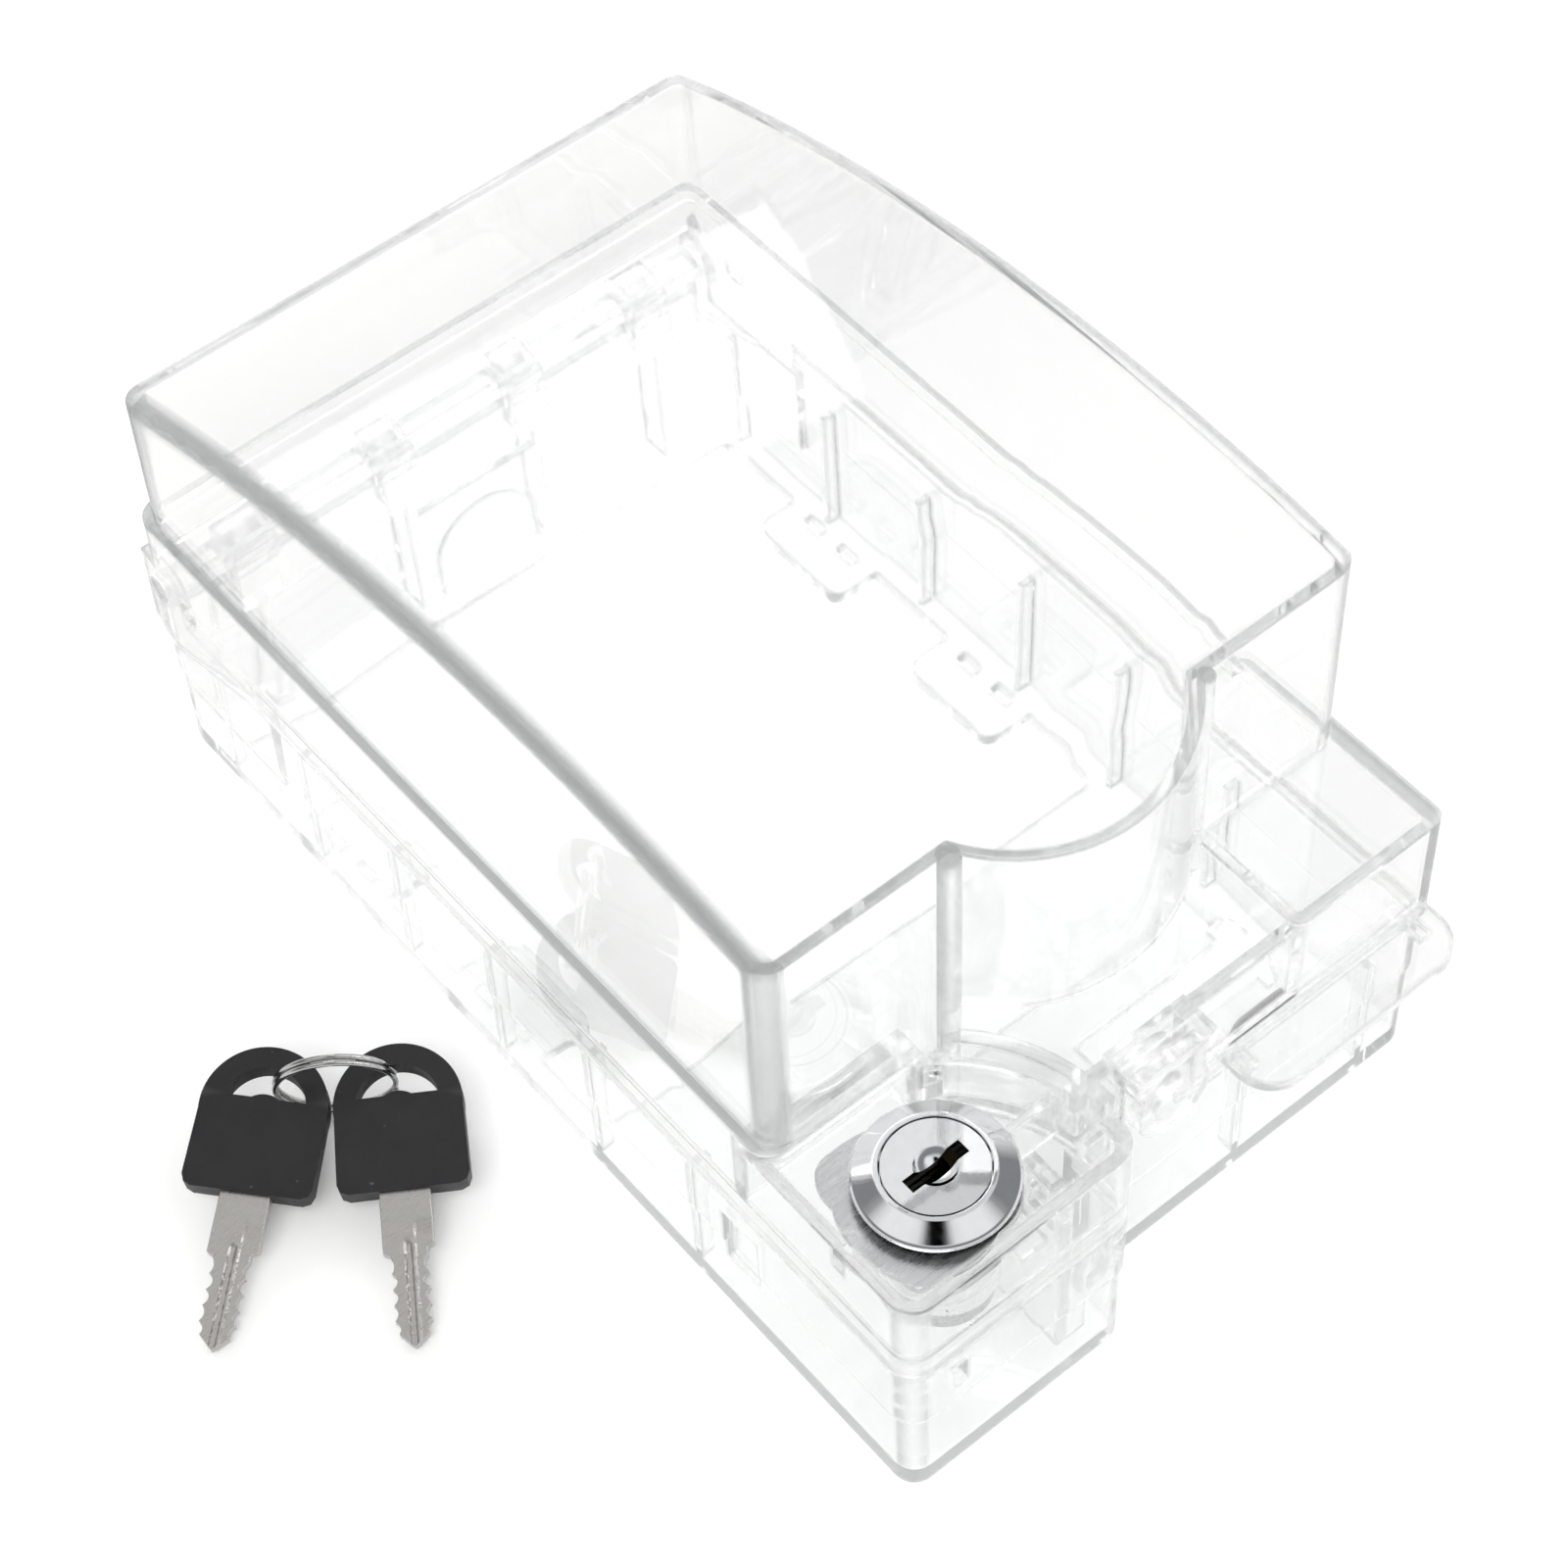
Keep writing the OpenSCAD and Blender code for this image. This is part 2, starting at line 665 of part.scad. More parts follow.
// Place of one key of the pair
module place_key(i) {
    s = i == 0 ? -1 : 1;
    translate(keys_at) rotate([0, 0, key_turn]) translate([s * key_gap, 0, 0])
        rotate([key_tilt, 0, 0]) rotate([0, 0, s > 0 ? key_fan[1] : key_fan[0]]) children();
}

module key_blade_1() color("silver") place_key(0) key_blade();
module key_blade_2() color("silver") place_key(1) key_blade();
module key_head_1() color([0.1, 0.1, 0.1]) place_key(0) key_head();
module key_head_2() color([0.1, 0.1, 0.1]) place_key(1) key_head();

// Points of the ring: two turns of a flat helix
turns = 2;
ring_count = turns * ring_steps;
function ring_point(i) = [ring_r * cos(i * 360 / ring_steps), ring_r * sin(i * 360 / ring_steps),
    (i / ring_steps - turns / 2) * ring_pitch];
function ring_side(i, k) = let(a = i * 360 / ring_steps, b = k * 60, p = ring_point(i))
    p + ring_wire * [cos(b) * cos(a), cos(b) * sin(a), sin(b)];
ring_gap = min([for (i = [0:ring_count - ring_steps]) norm(ring_point(i) - ring_point(i + ring_steps))])
    - 2 * ring_wire;
echo(least_gap_of_the_ring = ring_gap);

module split_ring() color("silver")
    translate(keys_at) rotate([0, 0, key_turn]) translate(ring_shift) rotate([ring_tilt, 0, ring_yaw])
    polyhedron(
        points = [for (i = [0:ring_count], k = [0:5]) ring_side(i, k)],
        faces = concat(
            [[for (k = [0:5]) k]],
            [for (i = [0:ring_count - 1], k = [0:5]) [i * 6 + k, i * 6 + (k + 1) % 6, (i + 1) * 6 + (k + 1) % 6]],
            [for (i = [0:ring_count - 1], k = [0:5]) [i * 6 + k, (i + 1) * 6 + (k + 1) % 6, (i + 1) * 6 + k]],
            [[for (k = [5:-1:0]) ring_count * 6 + k]]));

base_shell();
cam_catch();
hinge_rod();
lid_shell();
lock_housing();
lock_seal();
lock_plate();
lock_washer();
lock_nut();
lock_plug();
plug_wafers();
wafer_springs();
stop_disc();
lock_cam();
cam_washer();
cam_screw();
key_blade_1();
key_blade_2();
key_head_1();
key_head_2();
split_ring();
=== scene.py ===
import math

import bmesh
import bpy
import numpy as np
from mathutils import Matrix, Vector


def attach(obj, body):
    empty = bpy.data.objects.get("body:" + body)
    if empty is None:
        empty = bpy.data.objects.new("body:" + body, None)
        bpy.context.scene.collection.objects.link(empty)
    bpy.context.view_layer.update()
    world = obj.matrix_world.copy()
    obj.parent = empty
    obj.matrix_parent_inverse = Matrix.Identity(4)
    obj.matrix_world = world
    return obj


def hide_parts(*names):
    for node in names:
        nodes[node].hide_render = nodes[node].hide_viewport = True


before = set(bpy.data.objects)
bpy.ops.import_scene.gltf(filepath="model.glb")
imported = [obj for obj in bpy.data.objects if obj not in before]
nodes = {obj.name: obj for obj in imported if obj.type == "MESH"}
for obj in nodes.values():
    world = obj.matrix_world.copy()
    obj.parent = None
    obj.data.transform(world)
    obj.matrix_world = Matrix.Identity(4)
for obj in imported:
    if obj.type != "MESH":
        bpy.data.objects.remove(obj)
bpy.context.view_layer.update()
mm = 0.001

# the camera of the photograph, fitted to the straight edges of the cover
cameraView = {
    "lens": 89.05,  # mm
    "sensor": 36,  # mm
    "distance": 543.69,  # mm from the aim point along the view
    "azimuth": -39.76,
    "elevation": 52.68,
    "roll": -0.9,
    "aim": (0, -9, 30),
    "slide": (8.66, 9.8),  # mm to the right and up in the picture plane
    "shift": (-0.0708, -0.029),
    "clipStart": 0.01,  # m
}


def makeCamera(c):
    az, el, roll = (math.radians(c[k]) for k in ("azimuth", "elevation", "roll"))
    ahead = Vector((-math.sin(az) * math.cos(el), math.cos(az) * math.cos(el), -math.sin(el)))
    right = ahead.cross(Vector((0, 0, 1))).normalized()
    up = right.cross(ahead)
    right, up = (
        right * math.cos(roll) + up * math.sin(roll),
        up * math.cos(roll) - right * math.sin(roll),
    )
    place = Vector(c["aim"]) - ahead * c["distance"] + right * c["slide"][0] + up * c["slide"][1]
    facing = Matrix((right, up, -ahead)).transposed().to_4x4()
    camera = bpy.data.objects.new("camera", bpy.data.cameras.new("camera"))
    camera.matrix_world = Matrix.Translation(place * mm) @ facing
    camera.data.lens = c["lens"]
    camera.data.sensor_width = c["sensor"]
    camera.data.shift_x, camera.data.shift_y = c["shift"]
    camera.data.clip_start = c["clipStart"]
    bpy.context.scene.collection.objects.link(camera)
    bpy.context.scene.camera = camera


def linear(hexColour):
    # sRGB hex to the linear colour that a socket takes
    c = np.array([int(hexColour[i : i + 2], 16) / 255 for i in (1, 3, 5)])
    low, high = c / 12.92, ((c + 0.055) / 1.055) ** 2.4
    return (*np.where(c <= 0.04045, low, high).tolist(), 1.0)


def addNode(tree, kind, settings=None, **links):
    # a number or colour goes into the socket of that name, an output socket is linked to it;
    # in0, in1 and so on count the sockets
    made = tree.nodes.new(kind)
    for key, value in (settings or {}).items():
        setattr(made, key, value)
    for key, value in links.items():
        name = key.replace("_", " ")
        counted = name.startswith("in") and name[2:].isdigit()
        socket = made.inputs[int(name[2:]) if counted else name]
        if isinstance(value, bpy.types.NodeSocket):
            tree.links.new(value, socket)
        else:
            socket.default_value = value
    return made


def maths(tree, operation, a, b):
    return addNode(tree, "ShaderNodeMath", {"operation": operation}, in0=a, in1=b).outputs[0]


def dot(tree, a, b):
    made = addNode(tree, "ShaderNodeVectorMath", {"operation": "DOT_PRODUCT"}, in0=a, in1=b)
    return made.outputs["Value"]


def rising(tree, value, span, result=(0.0, 1.0)):
    # result[0] where value is span[0], result[1] where it is span[1], held beyond them
    made = addNode(tree, "ShaderNodeMapRange", Value=value, in1=span[0], in2=span[1],
        in3=result[0], in4=result[1])
    return made.outputs[0]


def noise(tree, where, perMetre, detail, **more):
    made = addNode(tree, "ShaderNodeTexNoise", Vector=where, Scale=perMetre, Detail=detail, **more)
    return made.outputs[0]


def mixColours(tree, share, first, second):
    made = addNode(tree, "ShaderNodeMix", {"data_type": "RGBA"}, in0=share, in6=first, in7=second)
    return made.outputs[2]


def mixShaders(tree, share, first, second):
    return addNode(tree, "ShaderNodeMixShader", in0=share, in1=first, in2=second).outputs[0]


def newMaterial(name):
    material = bpy.data.materials.new(name)
    material.use_nodes = True
    tree = material.node_tree
    tree.nodes.clear()
    return material, tree, addNode(tree, "ShaderNodeTexCoord").outputs["Object"]


studio = {
    "floorSize": 6.0,  # m
    "floorZ": -0.0003,  # m, a hair below the cover
    "floorHex": "#f7f7f6",
    "floorRoughness": 0.9,
    "floorGloss": 0.1,
    "floorLift": 0.10,  # what brings the lit floor up to white for the camera
    "ambient": 0.55,
    # what metal mirrors, from the horizon at 0 to the zenith at 1: white, a grey band and a pale ceiling
    "sky": [(0.0, "#ffffff"), (0.16, "#ffffff"), (0.34, "#8d8f90"), (0.62, "#8d8f90"), (0.8, "#e2e2e2"),
        (1.0, "#e2e2e2")],
    # cards that metal mirrors: azimuth, elevation, degrees to the edge and to the end of its blur, shade
    "cards": [(-39.76, 69, 10, 16, "#060606"), (22, 59, 11, 24, "#ffffff"), (-102, 59, 11, 24, "#ffffff")],
    # soft boxes that light the scene: name, place in m, size in m, power in W
    "boxes": [
        ("keyBox", (-0.75, -0.55, 1.25), (0.9, 0.9), 11.5),
        ("fillBox", (0.95, -0.75, 0.95), (0.7, 0.9), 4.5),
        ("rearBox", (0.15, 1.15, 0.85), (1.1, 0.5), 5.0),
    ],
    "boxAim": (0, 0, 0.03),  # m, inside the cover
    "bounces": 15,  # a line of sight crosses many clear walls
    "transparentBounces": 28,
}


def makeFloor(s):
    n, z = s["floorSize"] / 2, s["floorZ"]
    mesh = bpy.data.meshes.new("studioFloor")
    mesh.from_pydata([(-n, -n, z), (n, -n, z), (n, n, z), (-n, n, z)], [], [(0, 1, 2, 3)])
    floor = bpy.data.objects.new("studioFloor", mesh)
    bpy.context.scene.collection.objects.link(floor)
    # matt white paint, no gloss: a white ground that keeps the soft shadows
    material, tree, _ = newMaterial("paintedFloor")
    path = addNode(tree, "ShaderNodeLightPath")
    lift = maths(tree, "MULTIPLY", path.outputs["Is Camera Ray"], s["floorLift"])
    paint = addNode(tree, "ShaderNodeBsdfPrincipled", Base_Color=linear(s["floorHex"]),
        Roughness=s["floorRoughness"], Specular_IOR_Level=s["floorGloss"],
        Emission_Color=(1, 1, 1, 1), Emission_Strength=lift)
    addNode(tree, "ShaderNodeOutputMaterial", Surface=paint.outputs[0])
    mesh.materials.append(material)


def mirroredSky(tree, s):
    # the sky's bands with the cards laid over them
    where = addNode(tree, "ShaderNodeTexCoord").outputs["Generated"]
    height = addNode(tree, "ShaderNodeSeparateXYZ", Vector=where).outputs["Z"]
    ramp = addNode(tree, "ShaderNodeValToRGB", Fac=height)
    bands = ramp.color_ramp.elements
    for place, _ in s["sky"][1:-1]:
        bands.new(place)
    for band, (place, shade) in zip(bands, s["sky"]):
        band.position, band.color = place, linear(shade)
    sky = ramp.outputs["Color"]
    for *angles, shade in s["cards"]:
        az, el, edge, end = (math.radians(angle) for angle in angles)
        ahead = (math.sin(az) * math.cos(el), -math.cos(az) * math.cos(el), math.sin(el))
        share = rising(tree, dot(tree, where, ahead), (math.cos(end), math.cos(edge)))
        sky = mixColours(tree, share, sky, linear(shade))
    return sky


def makeWorld(s):
    world = bpy.data.worlds.new("studioWorld")
    bpy.context.scene.world = world
    world.use_nodes = True
    tree = world.node_tree
    tree.nodes.clear()
    path = addNode(tree, "ShaderNodeLightPath").outputs
    # plain white for the camera, also through clear plastic; bands and cards for what metal mirrors
    plain = maths(tree, "MAXIMUM", path["Is Camera Ray"], path["Is Transmission Ray"])
    backdrop = mixColours(tree, plain, mirroredSky(tree, s), (1, 1, 1, 1))
    # 1 for what the camera sees, also in metal and through clear plastic; 0 for what lights the scene
    seen = maths(tree, "MAXIMUM", path["Is Camera Ray"], path["Is Glossy Ray"])
    seen = maths(tree, "MAXIMUM", seen, path["Is Transmission Ray"])
    ambient = addNode(tree, "ShaderNodeBackground", Color=(1, 1, 1, 1), Strength=s["ambient"])
    direct = addNode(tree, "ShaderNodeBackground", Color=backdrop, Strength=1.0)
    both = mixShaders(tree, seen, ambient.outputs[0], direct.outputs[0])
    addNode(tree, "ShaderNodeOutputWorld", Surface=both)


def makeSoftBoxes(s):
    for name, place, size, power in s["boxes"]:
        lamp = bpy.data.lights.new(name, "AREA")
        lamp.shape = "RECTANGLE"
        lamp.size, lamp.size_y = size
        lamp.energy = power
        box = bpy.data.objects.new(name, lamp)
        box.location = place
        box.visible_glossy = False  # the sky and its cards stand for it in the metal
        aim = Vector(s["boxAim"]) - Vector(place)
        box.rotation_euler = aim.to_track_quat("-Z", "Y").to_euler()
        bpy.context.scene.collection.objects.link(box)


makeCamera(cameraView)
makeFloor(studio)
makeWorld(studio)
makeSoftBoxes(studio)
bpy.context.scene.view_settings.view_transform = "Standard"
cycles = bpy.context.scene.cycles
cycles.max_bounces = cycles.transmission_bounces = cycles.glossy_bounces = studio["bounces"]
cycles.transparent_max_bounces = studio["transparentBounces"]
print("stage: camera, floor and soft boxes")

clearPlastic = {
    "ior": 1.585,
    "tintHex": "#fdfdfd",
    "rubbed": 0.07,  # roughness of the few rubbed patches; the rest is mirror smooth
    "rubScale": 230.0,  # per metre
    "rubDetail": (3.0, 0.7),  # detail and roughness of the noise
    "rubSpan": (0.63, 0.8),  # values of the noise between which a patch comes up
    "waviness": 18,  # mm from one ripple of the moulding to the next
    "waveStrength": 0.004,
    "waveHeight": 4,  # mm
    "absorbHex": "#828383",
    "absorbDensity": 6,  # per metre, so that only long ways inside a wall turn grey
    "shadowHex": "#f6f7f7",
    "cornerRadius": 1.1,
    "cornerSamples": 2,
    "cornersUntil": 5,  # bounces
    "trappedFrom": 12,  # bounces after which the wall gives a painted glow in place of light caught in it
    "trappedHex": ("#b4b6b6", "#eaebeb"),  # painted light: the pale greys the wall glows with there, in clouds of the size on the next line, in mm
    "trappedSize": 1.6,
    "cloudDetail": 2.0,
    # painted shade: the next six keys lay a dull grey on the long left corners of the dome, standing in for
    # the grey these turned walls show
    "cornerShadeRadius": 3.2,  # mm from a corner
    "cornerShadeHex": "#a6a8a8",
    "cornerShadeShare": 0.72,
    "cornerShadeSpan": (0.998, 0.93),  # cosine of the wall's turn where the painted shade starts and where it is full
    "cornerShadeUntil": 2.5,  # bounces
    "cornerShadeFrom": (-46.0, 49.0),  # mm: left of the first and above the second
}


def paintedCornerShade(tree, where, depth, p):
    # painted shade: 1 on the long left corners of the dome, where the wall turns, and only where they are
    # seen; there the grey those corners show is painted in
    turned = addNode(tree, "ShaderNodeBevel", {"samples": p["cornerSamples"]}, Radius=p["cornerShadeRadius"] * mm)
    flat = addNode(tree, "ShaderNodeNewGeometry")
    bend = dot(tree, turned.outputs[0], flat.outputs["True Normal"])
    share = rising(tree, bend, p["cornerShadeSpan"], (0.0, p["cornerShadeShare"]))
    axes = addNode(tree, "ShaderNodeSeparateXYZ", Vector=where).outputs
    left, above = p["cornerShadeFrom"]
    for limit in (
        maths(tree, "LESS_THAN", axes["X"], left * mm),
        maths(tree, "GREATER_THAN", axes["Z"], above * mm),
        maths(tree, "LESS_THAN", depth, p["cornerShadeUntil"]),
    ):
        share = maths(tree, "MULTIPLY", share, limit)
    return share


def polycarbonate(name, p):
    # injection-moulded polycarbonate: water-clear walls, grey only where light runs along them, partly by
    # absorption and partly by a painted pale grey glow, with faint ripples, and with painted grey shade on
    # the corners along the left of the dome
    material, tree, where = newMaterial(name)
    path = addNode(tree, "ShaderNodeLightPath").outputs
    depth = path["Ray Depth"]
    ripple = noise(tree, where, 1 / (p["waviness"] * mm), p["cloudDetail"])
    rub = noise(tree, where, p["rubScale"], p["rubDetail"][0], Roughness=p["rubDetail"][1])
    rough = rising(tree, rub, p["rubSpan"], (0.0, p["rubbed"]))
    corner = addNode(tree, "ShaderNodeBevel", {"samples": p["cornerSamples"]}, Radius=p["cornerRadius"] * mm)
    bump = addNode(tree, "ShaderNodeBump", Height=ripple, Strength=p["waveStrength"],
        Distance=p["waveHeight"] * mm, Normal=corner.outputs[0])
    near, far = (
        addNode(tree, "ShaderNodeBsdfPrincipled", Base_Color=linear(p["tintHex"]), Transmission_Weight=1.0,
            IOR=p["ior"], **look).outputs[0]
        for look in ({"Roughness": rough, "Normal": bump.outputs[0]}, {"Roughness": 0.0})
    )
    # rounded corners are worked out only where they are seen
    late = maths(tree, "GREATER_THAN", depth, p["cornersUntil"])
    glass = mixShaders(tree, late, near, far)
    # painted shade: a dull grey, half diffuse and half translucent, for those corners
    dull = addNode(tree, "ShaderNodeBsdfDiffuse", Color=linear(p["cornerShadeHex"]))
    bright = addNode(tree, "ShaderNodeBsdfTranslucent", Color=linear(p["cornerShadeHex"]))
    shadedCorner = mixShaders(tree, 0.5, dull.outputs[0], bright.outputs[0])
    glass = mixShaders(tree, paintedCornerShade(tree, where, depth, p), glass, shadedCorner)
    # light passes to the floor, a little dimmed at each wall
    through = addNode(tree, "ShaderNodeBsdfTransparent", Color=linear(p["shadowHex"]))
    glass = mixShaders(tree, path["Is Shadow Ray"], glass, through.outputs[0])
    # painted light: past a number of bounces the wall glows pale grey by emission, standing in for light that
    # runs on inside a wall and comes out at its edges
    paintedGlowShare = maths(tree, "GREATER_THAN", depth, p["trappedFrom"])
    cloud = noise(tree, where, 1 / (p["trappedSize"] * mm), p["cloudDetail"])
    paintedGlow = addNode(tree, "ShaderNodeEmission", Color=mixColours(tree, cloud, *map(linear, p["trappedHex"])))
    glass = mixShaders(tree, paintedGlowShare, glass, paintedGlow.outputs[0])
    inside = addNode(tree, "ShaderNodeVolumeAbsorption", Color=linear(p["absorbHex"]),
        Density=p["absorbDensity"])
    addNode(tree, "ShaderNodeOutputMaterial", Surface=glass, Volume=inside.outputs[0])
    return material


metalGrain = {
    "drawnOut": 0.08,  # scale along X against the other two, for lines drawn out along X
    "detail": (4.0, 0.65),  # detail and roughness of the noise
    "roughSpan": (0.3, 0.75),  # values of the noise between which the roughness rises
    "height": 0.1,  # mm
}


def metal(name, hexColour, darkHex, roughness, grain, bump=0.1, drawn=False):
    # grain is the size in mm of the clouds that run from darkHex to hexColour
    material, tree, where = newMaterial(name)
    size = 1 / (grain * mm)
    alongX = size * (metalGrain["drawnOut"] if drawn else 1)
    stretch = addNode(tree, "ShaderNodeMapping", Vector=where, Scale=(alongX, size, size))
    detail, fade = metalGrain["detail"]
    cloud = noise(tree, stretch.outputs[0], 1.0, detail, Roughness=fade)
    height = addNode(tree, "ShaderNodeBump", Height=cloud, Strength=bump, Distance=metalGrain["height"] * mm)
    skin = addNode(tree, "ShaderNodeBsdfPrincipled", Metallic=1.0,
        Base_Color=mixColours(tree, cloud, linear(darkHex), linear(hexColour)),
        Roughness=rising(tree, cloud, metalGrain["roughSpan"], roughness), Normal=height.outputs[0])
    addNode(tree, "ShaderNodeOutputMaterial", Surface=skin.outputs[0])
    return material


blackHead = {
    "ior": 1.54,
    "faceHex": "#131215",
    "edgeWearAndHighlightHex": "#4b494c",
    "speckHex": "#7a787b",
    "grain": 0.12,  # mm, spark-eroded mould texture
    "grainStrength": 0.25,
    "grainHeight": 0.04,  # mm
    "grainDetail": 2.0,
    "roughness": (0.38, 0.58),
    "roughSpan": (0.3, 0.7),
    "cloudScale": 160.0,  # per metre
    "cloudDetail": (5.0, 0.7),  # detail and roughness of the noise
    "edgeWearAndHighlightSpan": (0.54, 0.66),  # how pointed an edge is where its paler wear and painted highlight start, and where they are strongest
    "edgeWearAndHighlightShare": 0.6,
    "knockScale": 420.0,  # per metre: small knocks where the head has met other metal
    "knockSpan": (0.735, 0.78),
    "knockShare": 0.8,
}


def mouldedBlack(name, p):
    # black ABS from a spark-eroded mould: matt, a touch violet, with edges paler, partly rubbed in a pocket
    # and partly a painted highlight along the rims
    material, tree, where = newMaterial(name)
    grain = noise(tree, where, 1 / (p["grain"] * mm), p["grainDetail"])
    cloud = noise(tree, where, p["cloudScale"], p["cloudDetail"][0], Roughness=p["cloudDetail"][1])
    edge = addNode(tree, "ShaderNodeNewGeometry").outputs["Pointiness"]
    # paler on pointed edges in clouds: wear, and also a painted highlight along the rims
    wearAndHighlight = maths(tree, "MULTIPLY", rising(tree, edge, p["edgeWearAndHighlightSpan"], (0.0, p["edgeWearAndHighlightShare"])), cloud)
    colour = mixColours(tree, wearAndHighlight, linear(p["faceHex"]), linear(p["edgeWearAndHighlightHex"]))
    knock = noise(tree, where, p["knockScale"], p["grainDetail"])
    speck = rising(tree, knock, p["knockSpan"], (0.0, p["knockShare"]))
    colour = mixColours(tree, speck, colour, linear(p["speckHex"]))
    bump = addNode(tree, "ShaderNodeBump", Height=grain, Strength=p["grainStrength"],
        Distance=p["grainHeight"] * mm)
    skin = addNode(tree, "ShaderNodeBsdfPrincipled", Base_Color=colour, IOR=p["ior"],
        Roughness=rising(tree, cloud, p["roughSpan"], p["roughness"]), Normal=bump.outputs[0])
    addNode(tree, "ShaderNodeOutputMaterial", Surface=skin.outputs[0])
    return material


rubberSeal = {
    "ior": 1.52,
    "hexes": ("#1b1b1c", "#333335"),
    "bloomScale": 700.0,  # per metre
    "bloomDetail": 4.0,
    "roughness": 0.8,
}


def rubber(name, p):
    # pressed EPDM rubber: dull black with a dusty bloom
    material, tree, where = newMaterial(name)
    bloom = noise(tree, where, p["bloomScale"], p["bloomDetail"])
    skin = addNode(tree, "ShaderNodeBsdfPrincipled", Roughness=p["roughness"], IOR=p["ior"],
        Base_Color=mixColours(tree, bloom, *map(linear, p["hexes"])))
    addNode(tree, "ShaderNodeOutputMaterial", Surface=skin.outputs[0])
    return material


clearWall = polycarbonate("clear_polycarbonate_moulded", clearPlastic)
# chromed die casting: mirrors the studio almost without a cloud
chrome = metal("bright_chrome_on_zinc", "#e9eaeb", "#dcdee0", (0.025, 0.07), 1.4, bump=0.02)
# plated parts inside the lock: pale grey with soft, cloudy reflections
zincPlate = metal("zinc_plated_steel", "#c3c5c6", "#8f9294", (0.2, 0.36), 0.8)
# clamping plate: brushed along X, with fine bright and dark lines
stampedSteel = metal("brushed_zinc_on_stamped_steel", "#e3e4e5", "#aeb0b1", (0.2, 0.34), 0.6, bump=0.45,
    drawn=True)
# screw: dark grey with a dim, oily sheen
blackScrew = metal("oiled_black_steel", "#4a4a4c", "#2c2c2e", (0.3, 0.45), 0.3)
# wafers at the bottom of the key slot: brass painted brown and nearly dark, painted shade of the deep slot
brass = metal("oiled_stamped_brass", "#4a3f2a", "#2a241a", (0.4, 0.6), 0.3)
# springs: clean grey wire with a sharp highlight
springWire = metal("drawn_spring_wire", "#b9bbbd", "#929496", (0.15, 0.25), 0.2)
# key shanks: warm grey, ground along X, with a broken sheen
nickelSilver = metal("ground_nickel_silver", "#d6d4d1", "#a9a6a2", (0.24, 0.42), 0.22, bump=0.3, drawn=True)
# split ring: smooth grey wire that mirrors its surroundings a little blurred
ringSteel = metal("nickel_plated_ring_wire", "#d2d2d1", "#a3a3a2", (0.1, 0.22), 0.5)
blackAbs = mouldedBlack("moulded_black_abs", blackHead)
sealRubber = rubber("pressed_black_rubber", rubberSeal)
print("stage: materials")

meshCare = {
    "weldCad": 2e-6,  # m, joins the loose triangles of a CAD solid
    "weldGrid": 1e-7,
    "sharpAngle": 32,  # degrees, the least that counts as a corner of a CAD solid
}


def finishPiece(name, mesh, body, replaced, material):
    piece = bpy.data.objects.new(name, mesh)
    bpy.context.scene.collection.objects.link(piece)
    mesh.materials.append(material)
    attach(piece, body)
    if replaced:
        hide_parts(*replaced)
    return piece


def mergedCopy(node, name, body, material, corner=0, segments=2):
    # the CAD solid with its loose triangles merged, and its corners rounded if corner is over 0 mm
    sharp = math.radians(meshCare["sharpAngle"])
    mesh = nodes[node].data.copy()
    mesh.name = name
    mesh.materials.clear()
    b = bmesh.new()
    b.from_mesh(mesh)
    bmesh.ops.remove_doubles(b, verts=b.verts, dist=meshCare["weldCad"])
    for edge in b.edges:
        edge.smooth = not (len(edge.link_faces) == 2 and edge.calc_face_angle(0) > sharp)
    for face in b.faces:
        face.smooth = True
    b.to_mesh(mesh)
    b.free()
    piece = finishPiece(name, mesh, body, [node], material)
    if corner:
        bevel = piece.modifiers.new("roundedCorners", "BEVEL")
        bevel.width = corner * mm
        bevel.segments = segments
        bevel.limit_method = "ANGLE"
        bevel.angle_limit = sharp
        bevel.harden_normals = True


def gridMesh(name, points, closeAlong=False):
    # points[i, k] is point k of row i: rows follow one another along the piece, each row closes on itself
    rows, ring = points.shape[:2]
    i, k = np.meshgrid(np.arange(rows if closeAlong else rows - 1), np.arange(ring), indexing="ij")
    a, b = i * ring + k, i * ring + (k + 1) % ring
    j = (i + 1) % rows
    faces = np.stack([a, b, j * ring + (k + 1) % ring, j * ring + k], -1).reshape(-1, 4).tolist()
    if not closeAlong:
        faces += [list(range(ring))[::-1], [(rows - 1) * ring + n for n in range(ring)]]
    mesh = bpy.data.meshes.new(name)
    mesh.from_pydata(points.reshape(-1, 3).tolist(), [], faces)
    b = bmesh.new()
    b.from_mesh(mesh)
    bmesh.ops.remove_doubles(b, verts=b.verts, dist=meshCare["weldGrid"])
    bmesh.ops.recalc_face_normals(b, faces=b.faces)
    for face in b.faces:
        face.smooth = True
    b.to_mesh(mesh)
    b.free()
    return mesh


def finishGrid(name, points, sharpAngle, body, replaced, material, closeAlong=False):
    mesh = gridMesh(name, points, closeAlong)
    mesh.set_sharp_from_angle(angle=math.radians(sharpAngle))
    finishPiece(name, mesh, body, replaced, material)


def tube(path, radius, sides):
    # p(i, k) = path(i) + radius(i) * (cos(k) * side(i) + sin(k) * over(i)), square to the path at i
    along = np.gradient(path, axis=0)
    along /= np.linalg.norm(along, axis=1)[:, None]
    side = path - path.mean(0)
    side -= (side * along).sum(1)[:, None] * along
    side /= np.linalg.norm(side, axis=1)[:, None]
    over = np.cross(along, side)
    turn = np.linspace(0, 2 * np.pi, sides, endpoint=False)
    radius = np.broadcast_to(np.asarray(radius, float), (len(path),))
    around = np.cos(turn)[None, :, None] * side[:, None] + np.sin(turn)[None, :, None] * over[:, None]
    return path[:, None] + radius[:, None, None] * around


softCorner = {
    "reach": 0.45,  # share of a side that a curve may take up
    "strip": 0.25,  # width of the strip beside a curve, as a share of the curve's reach
    "narrowing": 0.18,  # a strip narrows where this share of the side is less than the radius
}


